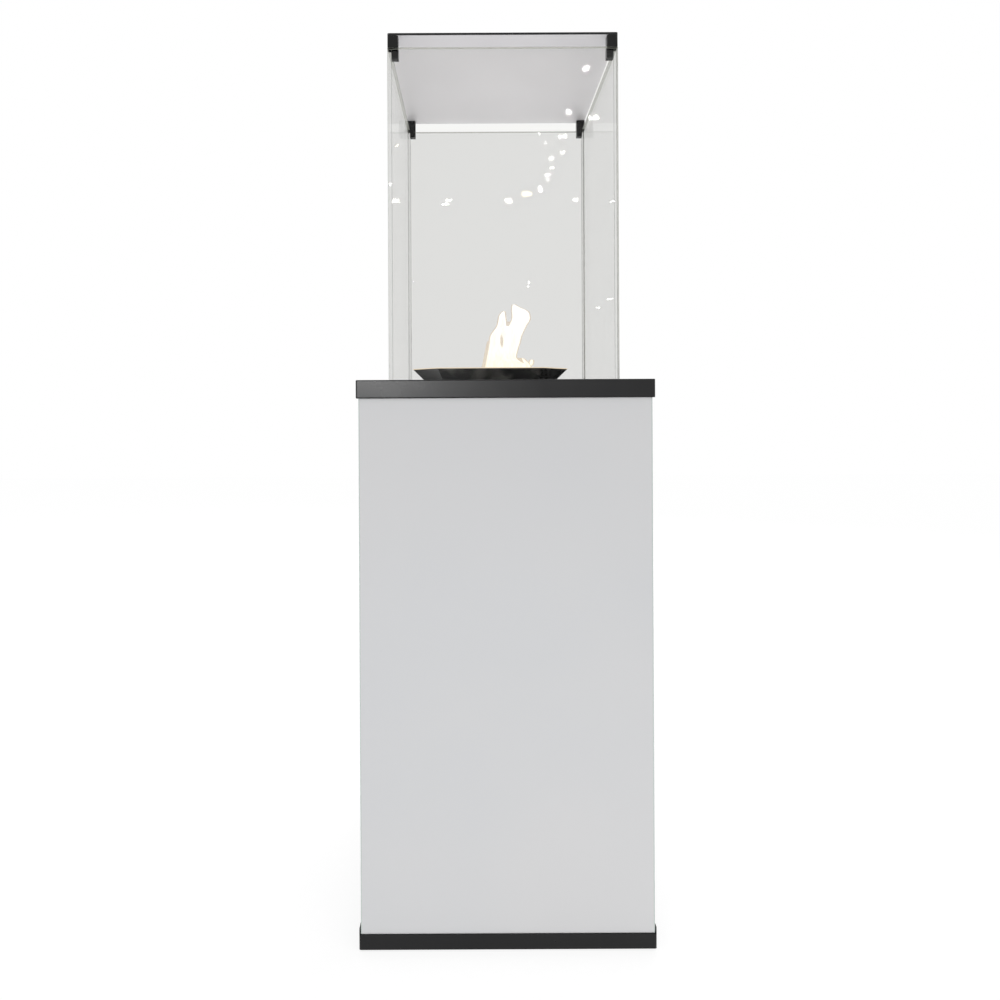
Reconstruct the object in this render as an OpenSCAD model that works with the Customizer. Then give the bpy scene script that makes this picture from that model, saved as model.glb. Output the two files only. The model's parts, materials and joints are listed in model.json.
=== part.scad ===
// Free-standing patio gas fireplace: a square panelled column holds the gas cylinder,
// and a four-sided glass cage on top holds the flame under a lifted roof.
// Frame: X right, front faces -Y, Z up. Origin: centre of the footprint on the floor.

/* [Plinth] */
// Height of the base plinth
base_h = 24; // [18:1:40]
// Gap between the floor and the plinth's lower edge
foot_h = 3; // [2:1:12]
// Sheet thickness of the plinth
base_t = 2; // [1.5:0.5:3]
// Corner radius of the plinth and of the top plate, seen from above
corner_r = 3; // [2:1:8]
// Height of the lips that hold the side panels' lower edges
lip_h = 9; // [5:1:20]
// Thickness of those lips
lip_t = 2; // [1:0.5:2]
// Diameter of a rubber foot
foot_d = 40; // [30:1:50]
// Distance from the plinth's edge to a foot's centre
foot_inset = 45; // [42:1:60]

/* [Column] */
// Side of the square column over its outer panels
column_w = 477; // [470:1:520]
// Height of the column that shows between plinth and top plate
column_h = 868; // [820:1:900]
// Thickness of the lacquered glass panels
panel_t = 6; // [4:0.5:8]
// Thickness of the adhesive between a panel and its posts
bond_t = 1.5; // [1:0.5:3]
// Leg of an angle post and height of the top frame
post_leg = 30; // [20:1:35]
// Sheet thickness of posts, top frame and brackets
post_t = 2; // [1.5:0.5:3]

/* [Top plate] */
// Height of the top plate's folded edge
plate_h = 30; // [20:1:40]
// Sheet thickness of the top plate
plate_t = 3; // [2:0.5:4]
// Diameter of the welded studs that hold the top plate
stud_d = 4; // [3:1:5]

/* [Glass cage] */
// Side of the square cage over its glass, and of the roof
cage_w = 388; // [360:1:390]
// Thickness of the cage glass
pane_t = 6; // [4:0.5:8]
// Height of the cage glass above the top plate
pane_h = 561; // [450:1:600]
// Depth of the cage glass in its channel
pane_sink = 12; // [8:1:16]
// Thickness of the gasket round the lower edge of the cage glass
gasket_t = 1.5; // [1:0.5:2]
// Sheet thickness of the glass channel
channel_t = 1.5; // [1:0.5:2]
// Height of the flue gap between cage glass and roof
roof_gap = 20; // [12:1:40]
// Thickness of the roof plate
roof_t = 4; // [3:1:8]
// Side of a corner connector above the glass
block_w = 18; // [16:1:26]
// Depth of the spigot below the top of the glass
spigot_h = 16; // [10:1:30]
// Diameter of the roof screws
roof_screw_d = 4; // [3:1:5]

/* [Burner] */
// Side of the eight-sided burner tray at its rim
tray_w = 282; // [240:1:300]
// Cut of the tray's corners at the rim
tray_cut = 47; // [30:1:60]
// Inward slope of the tray's sides
tray_slope = 27; // [15:1:35]
// Height of the tray
tray_h = 27; // [22:1:45]
// Sheet thickness of the tray
tray_t = 1.5; // [1:0.5:2]
// Sideways offset of the tray from the cage's centre
tray_x = -21; // [-25:1:0]
// Diameter of the round burner head
burner_d = 110; // [80:1:120]
// Height of the burner head
burner_h = 14; // [10:1:18]
// Diameter of one flame port in the burner head
port_d = 3; // [2:0.5:4]
// Outer diameter of the mixing tube
mixer_d = 22; // [18:1:28]
// Length of the mixing tube below the tray
mixer_l = 40; // [30:1:40]
// Sheet thickness of the deck under the tray
deck_t = 2; // [1.5:0.5:3]
// Side of the square burner box under the deck
box_w = 220; // [180:1:240]
// Depth of the burner box
box_h = 75; // [70:1:85]
// Sheet thickness of the burner box
box_t = 1.5; // [1:0.5:2]
// Outer diameter of the metal gas pipe
pipe_d = 8; // [6:1:10]
// Bend radius of the metal gas pipe
pipe_r = 14; // [12:1:16]
// Size of the lava stones
stone_d = 20; // [16:1:22]

/* [Controls] */
// Inside width of the recessed control pocket
pocket_w = 200; // [180:1:260]
// Inside height of the pocket
pocket_h = 90; // [70:1:100]
// Inside depth of the pocket, from the column's rear face
pocket_d = 46; // [44:1:60]
// Sheet thickness of the pocket
pocket_t = 1.5; // [1:0.5:2]
// Sideways place of the control knob
knob_x = -45; // [-60:1:-40]
// Diameter of the control knob
knob_d = 44; // [34:1:48]
// Height of the control knob
knob_h = 22; // [18:1:24]
// Push travel of the control knob
knob_travel = 4; // [2:1:5]
// Diameter of the control spindle
spindle_d = 8; // [6:1:10]
// Diameter of the turning plug in the gas valve
plug_d = 20; // [16:1:24]
// Sideways place of the igniter
igniter_x = 45; // [40:1:60]
// Diameter of the igniter's barrel
igniter_d = 22; // [20:1:26]
// Diameter of the igniter's push button
button_d = 16; // [12:1:17]
// Push travel of the igniter button
button_travel = 7; // [4:1:8]

/* [Rear door] */
// Height of the control fascia above the door
fascia_h = 144; // [135:1:170]
// Depth of the door's folded edges
door_d = 20; // [16:1:24]
// Sheet thickness of the door
door_t = 1.5; // [1:0.5:2]
// Gap between the door and the side panels
door_gap = 3; // [3:0.5:5]
// Diameter of the hinge pins
pin_d = 6; // [4:1:7]
// Number of vent slots in each row of the door
vent_count = 7; // [3:1:9]
// Width of a vent slot
vent_w = 6; // [4:1:8]
// Length of a vent slot
vent_l = 60; // [30:1:80]
// Height of the finger pull
pull_h = 100; // [60:1:160]

/* [Gas cylinder] */
// Diameter of the gas cylinder
bottle_d = 300; // [220:1:320]
// Height of the cylinder's shell from the bottom of its lower dome to its neck
bottle_h = 470; // [350:1:480]
// Wall of the cylinder
bottle_t = 3; // [2:0.5:4]
// Height of each domed end
dome_h = 70; // [50:1:90]
// Diameter of the foot ring
ring_d = 220; // [180:1:240]
// Height of the foot ring
ring_h = 45; // [30:1:60]
// Diameter of the valve guard
guard_d = 160; // [150:1:190]
// Height of the valve guard
guard_h = 110; // [100:1:120]
// Diameter of the cylinder's handwheel
wheel_d = 50; // [40:1:60]
// Outer diameter of the gas hose
hose_d = 12; // [10:1:12]
// Bend radius of the gas hose
hose_r = 48; // [48:1:60]

/* [Hidden] */
$fn = 48;

satin_black = [0.12, 0.12, 0.13];
gloss_black = [0.05, 0.05, 0.06];
pale_lacquer = [0.83, 0.83, 0.83];
clear_glass = [0.80, 0.85, 0.82, 0.35];
steel = [0.62, 0.62, 0.60];
brass = [0.75, 0.60, 0.30];
dark_rubber = [0.10, 0.10, 0.10];

// Clearance of a seated piece, radial clearance of a screw, and of a turning or sliding fit
seat_gap = 0.2;
screw_gap = 0.1;
run_gap = 0.05;

// Widths across the column, and the heights where its pieces meet
lip_gap = 0.5;
skirt_gap = 1;
base_w = column_w + 2 * (lip_gap + lip_t);
plate_w = column_w + 2 * (skirt_gap + plate_t);
base_z1 = foot_h + base_h;
column_z1 = base_z1 + column_h;
plate_z1 = column_z1 + plate_h;
panel_lap = 5;
panel_z1 = column_z1 + panel_lap;
pane_z0 = plate_z1 - pane_sink;
pane_z1 = plate_z1 + pane_h;
roof_z0 = pane_z1 + roof_gap;
roof_screw_l = roof_gap * 0.8;
rear_y = column_w / 2;
panel_in = column_w / 2 - panel_t;
post_out = panel_in - bond_t;

// Channel that the cage glass stands in, and the frame under the top plate
channel_out = cage_w / 2 + gasket_t;
channel_in = cage_w / 2 - pane_t - gasket_t;
frame_in = channel_out + channel_t + seat_gap;
frame_z1 = plate_z1 - plate_t;
post_z1 = frame_z1 - post_t;
stud_l = 14;
nut_h = 3;
nut_w = 7;
stud_x = (frame_in + post_t + post_out) / 2;
stud_y = cage_w / 4;

// Feet and their screws
foot_screw_d = 6;
foot_head_d = 12;
foot_head_h = 4;
foot_x = base_w / 2 - foot_inset;
foot_z1 = base_z1 - base_t;
foot_screw_z0 = foot_z1 / 3;
foot_taper = 4;
vent_pitch = 24;

// Rear door, its hinge axis and the room that its inner edge swings through
pin_inset = 6.5;
pin_depth = 5;
swing_room = 6.5;
door_x = panel_in - door_gap;
hinge_x = door_x - pin_inset;
hinge_y = rear_y - pin_depth;
rear_post_y = rear_y - door_d - swing_room;
hinge_t = 2;
hinge_in = 14;
hinge_out = 8;
washer_t = 1;
pin_l = 8;
door_z0 = base_z1 + hinge_t + washer_t;
fascia_z0 = panel_z1 - fascia_h;
door_z1 = fascia_z0 - hinge_t - 2 * washer_t;
catch_z = (door_z0 + door_z1) / 2;
catch_w = 22;
catch_h = 50;
catch_inset = 6;
catch_x = -(post_out - catch_inset - catch_w / 2);
strike_t = 2;
pull_w = 20;
pull_out = 3.5;
pull_t = 1;

// Burner, its deck and box
deck_z1 = plate_z1 - post_t;
deck_z0 = deck_z1 - deck_t;
tray_floor = deck_z1 + tray_t;
tray_wall = tray_t * sqrt(2);
box_z0 = deck_z0 - box_h;
box_floor = box_z0 + box_t;
pipe_gap = 2;
jet_w = 16;
jet_h = 24;
jet_d = 10;
jet_l = 8.5;
mixer_t = 1.5;
mixer_gap = 0.5;
lead_d = 2.5;
pilot_x = 73;
pilot_pitch = 12;
lead_hole_d = 6;

// Valve, knob and igniter behind the control pocket
knob_drop = 3;
knob_z = fascia_z0 + fascia_h / 2 - knob_drop;
pocket_floor = rear_y - pocket_d;
pocket_y0 = pocket_floor - pocket_t;
pocket_flange = 12;
spacer_d = 12;
spacer_inset = 20;
bonnet_t = 6.5;
valve_w = 54;
valve_l = 54;
valve_h = 40;
valve_y1 = pocket_y0 - bonnet_t;
valve_y = valve_y1 - valve_l / 2;
plug_l = 34;
ear_w = 8;
valve_screw_d = 4;
valve_screw_x = valve_w / 2 + (ear_w - valve_screw_d) / 2;
knob_gap = 2;
knob_y0 = pocket_floor + knob_travel + knob_gap;
spindle_in = 26;
spindle_seat = 14;
igniter_l = 50;
igniter_flange = 3;
igniter_lip = 3;
igniter_nut_h = 5;
button_seat = 20;
button_out = button_travel + 5;
button_room = 1;

// Pipes and hose lie in one upright plane through the cage's axis and the valve
plane_angle = atan2(valve_y, knob_x);
valve_s = norm([knob_x, valve_y]);
run_z = box_floor + jet_h * 0.6;
pipe_nut_d = 14;
pipe_nut_l = 8;
barb_l = 15;
barb_t = 2;

// Gas cylinder, standing on the plinth
bottle_r = bottle_d / 2;
bottle_z0 = base_z1 + ring_h / 3;
bottle_z1 = bottle_z0 + bottle_h;
neck_d = 40;
neck_bore_d = 25;
neck_h = 12;
neck_z1 = bottle_z1 + neck_h;
valve_body_d = 34;
valve_body_h = 40;
bonnet_h = 14;
outlet_z = neck_z1 + 24;
outlet_d = 22;
outlet_s = 28;
regulator_nut_l = 16;
regulator_d = 36;
regulator_h = 26;
regulator_cap_h = 6;
regulator_s = outlet_s + regulator_nut_l + regulator_d / 2 - 1;
wheel_gap = 2;
wheel_z0 = neck_z1 + valve_body_h + bonnet_h + wheel_gap;
wheel_h = 12;
wheel_dish = 4;
wheel_stem_d = 8;
wheel_seat = 3;
hose_s0 = valve_s - hose_r - hose_d;
hose_gap = 4;

// Openings in the valve guard: for the regulator on one side and a hand on the other
guard_gap_w = 116;
guard_gap_z0 = neck_z1 - 4;
hand_hole_w = 90;
hand_hole_z0 = neck_z1 + 20;
hand_hole_h = 40;

module rounded_square(w, r) {
    square([w - 2 * r, w], center = true);
    square([w, w - 2 * r], center = true);
    for (sx = [-1, 1], sy = [-1, 1]) translate([sx * (w / 2 - r), sy * (w / 2 - r)]) circle(r);
}

module span(lo, hi) {
    translate(lo) cube(hi - lo);
}

module square_ring(outer, inner, z0, z1) {
    difference() {
        span([-outer, -outer, z0], [outer, outer, z1]);
        span([-inner, -inner, z0 - 1], [inner, inner, z1 + 1]);
    }
}

module at_corners(x, y) {
    for (sx = [-1, 1], sy = [-1, 1]) translate([sx * x, sy * y, 0]) children();
}

module along_y(x, y, z) {
    translate([x, y, z]) rotate([-90, 0, 0]) children();
}

module in_pipe_plane() {
    rotate([0, 0, plane_angle]) children();
}

module along_plane(s, z) {
    in_pipe_plane() translate([s, 0, z]) rotate([0, 90, 0]) children();
}

module lead(points, d) {
    for (i = [1 : len(points) - 1]) {
        a = points[i - 1];
        v = points[i] - a;
        translate(a) rotate([0, acos(v[2] / norm(v)), atan2(v[1], v[0])]) cylinder(d = d, h = norm(v));
        if (i < len(points) - 1) translate(points[i]) sphere(d = d);
    }
}

module foot_places() {
    at_corners(foot_x, foot_x) children();
}

module base_plinth() color(satin_black) {
    difference() {
        translate([0, 0, foot_h]) linear_extrude(base_h) rounded_square(base_w, corner_r);
        translate([0, 0, foot_h - 1]) linear_extrude(base_h - base_t + 1)
            rounded_square(base_w - 2 * base_t, corner_r - base_t / 2);
        foot_places() cylinder(d = foot_screw_d + 2 * screw_gap, h = base_z1 + 1);
        for (i = [-3 : 3], s = [-1, 1]) translate([i * vent_pitch, s * foot_x, 0]) vent_hole(base_z1 + 1);
    }
    for (s = [-1, 1]) translate([s * (base_w - lip_t) / 2, 0, base_z1 + lip_h / 2])
        cube([lip_t, base_w - 2 * corner_r, lip_h], center = true);
}

module vent_hole(h) {
    translate([-vent_w / 2, -vent_w, 0]) cube([vent_w, 2 * vent_w, h]);
    for (s = [-1, 1]) translate([0, s * vent_w, 0]) cylinder(d = vent_w, h = h);
}

module rubber_feet() color(dark_rubber) foot_places() difference() {
    cylinder(d1 = foot_d - foot_taper, d2 = foot_d, h = foot_z1);
    translate([0, 0, foot_screw_z0 - 1]) cylinder(d = foot_screw_d + 2 * screw_gap, h = foot_z1);
}

module foot_screws() color(steel) foot_places() {
    translate([0, 0, foot_screw_z0]) cylinder(d = foot_screw_d, h = base_z1 - foot_screw_z0);
    translate([0, 0, base_z1]) cylinder(d = foot_head_d, h = foot_head_h);
}

module angle_post(sx, y, sy) {
    x = sx * post_out;
    for (size = [[post_leg, post_t], [post_t, post_leg]])
        translate([x - (sx > 0 ? size[0] : 0), y - (sy > 0 ? size[1] : 0), base_z1])
            cube([size[0], size[1], post_z1 - base_z1]);
}

module front_posts() color(steel) for (s = [-1, 1]) angle_post(s, -post_out, -1);

module rear_posts() color(steel) for (s = [-1, 1]) angle_post(s, rear_post_y, 1);

module stud_places() {
    for (a = [0 : 90 : 270], s = [-1, 1])
        rotate([0, 0, a]) translate([stud_x, s * stud_y, 0]) rotate([0, 0, 30]) children();
}

module top_frame() color(steel) difference() {
    union() {
        square_ring(post_out, frame_in, post_z1, frame_z1);
        square_ring(frame_in + post_t, frame_in, frame_z1 - post_leg, post_z1);
    }
    stud_places() translate([0, 0, post_z1 - 1]) cylinder(d = stud_d + 4 * screw_gap, h = post_t + 2);
}

module front_panel() color(pale_lacquer)
    span([-column_w / 2, -column_w / 2, base_z1], [column_w / 2, -panel_in, panel_z1]);

module side_panel(s) color(pale_lacquer)
    translate([s > 0 ? panel_in : -column_w / 2, -panel_in + seat_gap, base_z1])
        cube([panel_t, panel_in + rear_y - seat_gap, panel_z1 - base_z1]);

module left_panel() side_panel(-1);

module right_panel() side_panel(1);

module bond_strips() color(dark_rubber) {
    w = post_leg * 2 / 3;
    mid = post_out - post_leg / 2;
    h = column_h - 2 * panel_lap;
    z = base_z1 + column_h / 2;
    for (s = [-1, 1]) {
        translate([s * mid, -(panel_in + post_out) / 2, z]) cube([w, bond_t, h], center = true);
        for (y = [-mid, rear_post_y - post_leg / 2])
            translate([s * (panel_in + post_out) / 2, y, z]) cube([bond_t, w, h], center = true);
    }
}

module top_plate() color(satin_black) {
    difference() {
        intersection() {
            translate([0, 0, column_z1]) linear_extrude(plate_h) rounded_square(plate_w, corner_r);
            plate_side_profile(0);
            plate_side_profile(90);
        }
        translate([0, 0, column_z1 - 1]) linear_extrude(plate_h - plate_t + 1)
            rounded_square(plate_w - 2 * plate_t, corner_r / 2);
        span([-channel_out, -channel_out, column_z1], [channel_out, channel_out, plate_z1 + 1]);
    }
    stud_places() translate([0, 0, frame_z1 - stud_l]) cylinder(d = stud_d, h = stud_l + plate_t / 2);
}

// Side view of the top plate with rounded upper and lower edges, drawn out across the plate
module plate_side_profile(a) {
    r = plate_t - 1;
    rotate([0, 0, a]) translate([0, plate_w / 2 + 1, column_z1 + plate_h / 2]) rotate([90, 0, 0])
        linear_extrude(plate_w + 2) {
            square([plate_w - 2 * r, plate_h], center = true);
            square([plate_w, plate_h - 2 * r], center = true);
            for (sx = [-1, 1], sz = [-1, 1])
                translate([sx * (plate_w / 2 - r), sz * (plate_h / 2 - r)]) circle(r);
        }
}

module plate_nuts() color(steel) stud_places() translate([0, 0, post_z1 - nut_h]) difference() {
    cylinder(d = nut_w / cos(30), h = nut_h, $fn = 6);
    translate([0, 0, -1]) cylinder(d = stud_d + 2 * screw_gap, h = nut_h + 2);
}

module glass_channel() color(steel) {
    z0 = pane_z0 - gasket_t - channel_t;
    square_ring(channel_out + channel_t, channel_in - channel_t, z0, z0 + channel_t);
    square_ring(channel_out + channel_t, channel_out, z0, frame_z1);
    square_ring(channel_in, channel_in - channel_t, z0, deck_z0);
}

module glass_gasket() color(dark_rubber) {
    z0 = pane_z0 - gasket_t;
    square_ring(channel_out, channel_in, z0, pane_z0);
    square_ring(channel_out, cage_w / 2, z0, plate_z1);
    square_ring(channel_in + gasket_t, channel_in, z0, deck_z1);
}

module cage_pane(length) translate([-length / 2, -cage_w / 2, pane_z0])
    color(clear_glass) cube([length, pane_t, pane_z1 - pane_z0]);

module front_pane() cage_pane(cage_w);

module rear_pane() rotate([0, 0, 180]) cage_pane(cage_w);

module left_pane() rotate([0, 0, -90]) cage_pane(cage_w - 2 * pane_t - 2 * seat_gap);

module right_pane() rotate([0, 0, 90]) cage_pane(cage_w - 2 * pane_t - 2 * seat_gap);

module corner_connectors() color(satin_black) {
    spigot_w = block_w - pane_t - seat_gap;
    for (a = [0 : 90 : 270]) rotate([0, 0, a]) translate([cage_w / 2, cage_w / 2, 0]) difference() {
        union() {
            translate([-block_w / 2, -block_w / 2, pane_z1]) linear_extrude(roof_gap)
                rounded_square(block_w, corner_r);
            translate([-block_w, -block_w, pane_z1 - spigot_h]) cube([spigot_w, spigot_w, spigot_h + 1]);
        }
        translate([-block_w / 2, -block_w / 2, roof_z0 - roof_screw_l])
            cylinder(d = roof_screw_d + 2 * screw_gap, h = roof_screw_l + 1);
    }
}

module roof_screw_places() {
    at_corners((cage_w - block_w) / 2, (cage_w - block_w) / 2) children();
}

module roof_plate() color(steel) difference() {
    translate([0, 0, roof_z0]) linear_extrude(roof_t) rounded_square(cage_w, corner_r);
    roof_screw_places() translate([0, 0, roof_z0]) {
        translate([0, 0, -1]) cylinder(d = roof_screw_d + 4 * screw_gap, h = roof_t + 2);
        translate([0, 0, roof_t - roof_screw_d / 2]) cylinder(d1 = roof_screw_d + 4 * screw_gap,
            d2 = 2 * roof_screw_d + 4 * screw_gap, h = roof_screw_d / 2 + 0.01);
    }
}

module roof_screws() color(steel) roof_screw_places() translate([0, 0, roof_z0]) difference() {
    union() {
        translate([0, 0, seat_gap - roof_screw_l])
            cylinder(d = roof_screw_d, h = roof_t + roof_screw_l - seat_gap - roof_screw_d / 2);
        translate([0, 0, roof_t - roof_screw_d / 2])
            cylinder(d1 = roof_screw_d, d2 = 2 * roof_screw_d, h = roof_screw_d / 2);
    }
    translate([0, 0, roof_t - roof_screw_d / 4]) cylinder(d = roof_screw_d * 0.7, h = roof_screw_d, $fn = 6);
}

module burner_deck() color(satin_black) difference() {
    span([-channel_in, -channel_in, deck_z0], [channel_in, channel_in, deck_z1]);
    translate([0, 0, deck_z0 - 1]) cylinder(d = mixer_d + 2 * mixer_gap, h = deck_t + 2);
    lead_holes() translate([0, 0, deck_z0 - 1]) cylinder(d = lead_hole_d, h = deck_t + 2);
    for (a = [0 : 90 : 270], i = [-2 : 2]) rotate([0, 0, a])
        translate([channel_in - vent_pitch / 2, i * 2 * vent_pitch, deck_z0 - 1]) vent_hole(deck_t + 2);
}

module lead_holes() {
    for (i = [-1 : 1]) translate([pilot_x, i * pilot_pitch, 0]) children();
}

module burner_box() color(steel) difference() {
    span([-box_w / 2, -box_w / 2, box_z0], [box_w / 2, box_w / 2, deck_z0]);
    span([box_t - box_w / 2, box_t - box_w / 2, box_floor],
        [box_w / 2 - box_t, box_w / 2 - box_t, deck_z0 + 1]);
    along_plane(box_w / 4, run_z) cylinder(d = pipe_d + 2 * pipe_gap, h = box_w);
    for (i = [-1 : 1])
        along_y(pilot_x, box_w / 2 - 2 * box_t, lead_z(i)) cylinder(d = lead_hole_d, h = 4 * box_t);
    for (x = [-2 : 2], s = [-1, 1])
        translate([x * 1.5 * vent_pitch, s * box_w / 3, box_z0 - 1]) vent_hole(box_t + 2);
}

// Height at which each lead enters the burner box
function lead_z(i) = run_z + 6 + i * pilot_pitch * 0.75;

// Eight-sided outline of the tray, moved inward by a distance all round
module tray_outline(inward) {
    h = tray_w / 2 - inward;
    k = h - tray_cut + inward * (2 - sqrt(2));
    polygon([[-k, -h], [k, -h], [h, -k], [h, k], [k, h], [-k, h], [-h, k], [-h, -k]]);
}

module tray_block(inward, z0, z1) {
    hull() {
        translate([0, 0, z0]) linear_extrude(0.01) tray_outline(tray_slope + inward);
        translate([0, 0, z1 - 0.01]) linear_extrude(0.01) tray_outline(inward);
    }
}

module burner_tray() color(gloss_black) difference() {
    translate([tray_x, 0, 0]) difference() {
        tray_block(0, deck_z1, deck_z1 + tray_h);
        tray_block(tray_wall, tray_floor, deck_z1 + tray_h + 0.1);
    }
    translate([0, 0, deck_z1 - 1]) cylinder(d = mixer_d + 2 * mixer_gap, h = tray_t + 2);
    lead_holes() translate([0, 0, deck_z1 - 1]) cylinder(d = lead_hole_d, h = tray_t + 2);
}

module burner_head() color(steel) translate([0, 0, tray_floor]) difference() {
    cylinder(d = burner_d, h = burner_h);
    translate([0, 0, tray_t]) cylinder(d = burner_d - 2 * tray_t, h = burner_h - 2 * tray_t);
    translate([0, 0, -1]) cylinder(d = mixer_d - 2 * mixer_t, h = tray_t + 2);
    for (ring = [[burner_d * 0.42, 24], [burner_d * 0.3, 16]], i = [0 : ring[1] - 1])
        rotate([0, 0, i * 360 / ring[1]]) translate([ring[0], 0, burner_h - 2 * tray_t])
            cylinder(d = port_d, h = 3 * tray_t);
}

module mixing_tube() color(steel) translate([0, 0, tray_floor - mixer_l]) difference() {
    cylinder(d = mixer_d, h = mixer_l);
    translate([0, 0, -1]) cylinder(d = mixer_d - 2 * mixer_t, h = mixer_l + 2);
}

module jet_block() color(brass) in_pipe_plane()
    translate([-jet_w / 2, -jet_w / 2, box_floor]) cube([jet_w, jet_w, jet_h]);

module gas_jet() color(brass) translate([0, 0, box_floor + jet_h]) difference() {
    cylinder(d1 = jet_d, d2 = jet_d - 4, h = jet_l);
    translate([0, 0, -1]) cylinder(d = 1, h = jet_l + 2);
}

module plane_bend(s, z, r, d, start) {
    in_pipe_plane() translate([s, 0, z]) rotate([90, 0, 0]) rotate([0, 0, start])
        rotate_extrude(angle = 90) translate([r, 0]) circle(d = d);
}

module supply_pipe() color(steel) {
    z0 = knob_z + valve_h / 2;
    in_pipe_plane() translate([valve_s, 0, z0]) cylinder(d = pipe_d, h = run_z - pipe_r - z0);
    plane_bend(valve_s - pipe_r, run_z - pipe_r, pipe_r, pipe_d, 0);
    along_plane(jet_w / 2, run_z) cylinder(d = pipe_d, h = valve_s - pipe_r - jet_w / 2);
}

module pilot_bracket() color(steel) difference() {
    span([pilot_x - pilot_pitch, -2 * pilot_pitch, tray_floor],
        [pilot_x + pilot_pitch, 2 * pilot_pitch, tray_floor + tray_t]);
    lead_holes() translate([0, 0, tray_floor - 1]) cylinder(d = lead_d + 2 * seat_gap, h = tray_t + 2);
}

module pilot_burner() color(brass) translate([pilot_x, 0, tray_floor + tray_t]) {
    cylinder(d = 8, h = 12);
    translate([0, 0, 12]) cylinder(d1 = 11, d2 = 9, h = 4);
}

module thermocouple() color(steel) translate([pilot_x, pilot_pitch, tray_floor + tray_t]) {
    cylinder(d = 7, h = 6);
    cylinder(d = 4, h = 17);
}

module spark_electrode() color("white") translate([pilot_x, -pilot_pitch, tray_floor + tray_t]) {
    cylinder(d = 7, h = 11);
    cylinder(d = 2, h = 17);
}

module pilot_pipe() color(steel) lead([
    [knob_x + valve_w / 4, valve_y - valve_l / 4, knob_z + valve_h / 2],
    [knob_x + valve_w / 4, valve_y - valve_l / 4, lead_z(0)],
    [pilot_x, valve_y - valve_l / 4, lead_z(0)],
    [pilot_x, 0, lead_z(0)],
    [pilot_x, 0, tray_floor + tray_t]], lead_d);

module thermocouple_lead() color("peru") lead([
    [knob_x + valve_w / 3, valve_y + valve_l / 8, knob_z + valve_h / 2],
    [knob_x + valve_w / 3, valve_y + valve_l / 8, lead_z(1)],
    [pilot_x, valve_y + valve_l / 8, lead_z(1)],
    [pilot_x, pilot_pitch, lead_z(1)],
    [pilot_x, pilot_pitch, tray_floor + tray_t]], lead_d);

module ignition_lead() color(dark_rubber) lead([
    [igniter_x, pocket_floor - igniter_l + igniter_flange, knob_z],
    [igniter_x, box_w / 2 + 3 * lead_d, knob_z],
    [igniter_x, box_w / 2 + 3 * lead_d, lead_z(-1)],
    [pilot_x, box_w / 2 + 3 * lead_d, lead_z(-1)],
    [pilot_x, -pilot_pitch, lead_z(-1)],
    [pilot_x, -pilot_pitch, tray_floor + tray_t]], lead_d);

// Stones lie on a grid, and stay inside the tray and clear of the burner and the pilot
module lava_stones() color([0.25, 0.23, 0.22]) {
    pitch = stone_d * 1.22;
    half = tray_w / 2 - tray_slope - stone_d / 2 - tray_t;
    reach = 2 * half - tray_cut * 0.75;
    n = floor(half / pitch);
    for (i = [-n : n], j = [-n : n]) {
        x = tray_x + i * pitch;
        y = j * pitch;
        near_burner = norm([x, y]) < (burner_d + stone_d) / 2 + 1;
        near_pilot = abs(x - pilot_x) < pilot_pitch + stone_d / 2 + 1
            && abs(y) < 2 * pilot_pitch + stone_d / 2 + 1;
        if (abs(i * pitch) + abs(y) < reach && !near_burner && !near_pilot)
            translate([x, y, tray_floor]) stone(i * 7 + j * 3);
    }
}

module stone(seed) {
    h = stone_d * (0.62 + 0.12 * sin(seed * 47));
    rotate([0, 0, seed * 31]) translate([0, 0, h * cos(22.5) / 2])
        scale([1, 0.86 + 0.1 * cos(seed * 61), h / stone_d]) sphere(d = stone_d, $fn = 7);
}

module heat_shield() color(steel) difference() {
    span([-post_out + post_t + seat_gap, -post_out + post_t + seat_gap, door_z1],
        [post_out - post_t - seat_gap, rear_post_y - post_t - seat_gap, door_z1 + post_t]);
    in_pipe_plane() translate([valve_s, 0, door_z1 - 1]) cylinder(d = hose_d + 2 * hose_gap, h = post_t + 2);
}

module shield_cleats() color(steel) {
    w = post_leg / 2;
    x = post_out - post_t - w / 2;
    for (sx = [-1, 1], y = [-x, rear_post_y - post_t - w / 2])
        translate([sx * x, y, door_z1 - w / 2]) cube([w, w, w], center = true);
}

module rear_fascia() color(pale_lacquer) difference() {
    span([seat_gap - panel_in, panel_in, fascia_z0], [panel_in - seat_gap, rear_y, panel_z1]);
    translate([0, rear_y, knob_z]) cube([pocket_w, 4 * panel_t, pocket_h], center = true);
}

module fascia_spacers() color(steel)
    for (sx = [-1, 1], z = [fascia_z0 + spacer_inset, panel_z1 - spacer_inset])
        along_y(sx * (post_out - post_leg / 2), rear_post_y, z)
            cylinder(d = spacer_d, h = panel_in - rear_post_y);

module pocket_block(grow, y0, y1) {
    span([-pocket_w / 2 - grow, y0, knob_z - pocket_h / 2 - grow],
        [pocket_w / 2 + grow, y1, knob_z + pocket_h / 2 + grow]);
}

module control_pocket() color(satin_black) difference() {
    union() {
        pocket_block(pocket_t, pocket_y0, panel_in);
        pocket_block(pocket_flange, panel_in - pocket_t, panel_in);
    }
    pocket_block(0, pocket_floor, panel_in + 1);
    along_y(knob_x, pocket_y0 - 1, knob_z) cylinder(d = spindle_d + 1, h = pocket_t + 2);
    along_y(igniter_x, pocket_y0 - 1, knob_z) cylinder(d = igniter_d + 2 * screw_gap, h = pocket_t + 2);
    valve_screw_places(pocket_y0 - 1) cylinder(d = valve_screw_d + 2 * screw_gap, h = pocket_t + 2);
}

module valve_screw_places(y) {
    for (s = [-1, 1]) along_y(knob_x + s * valve_screw_x, y, knob_z) children();
}

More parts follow.
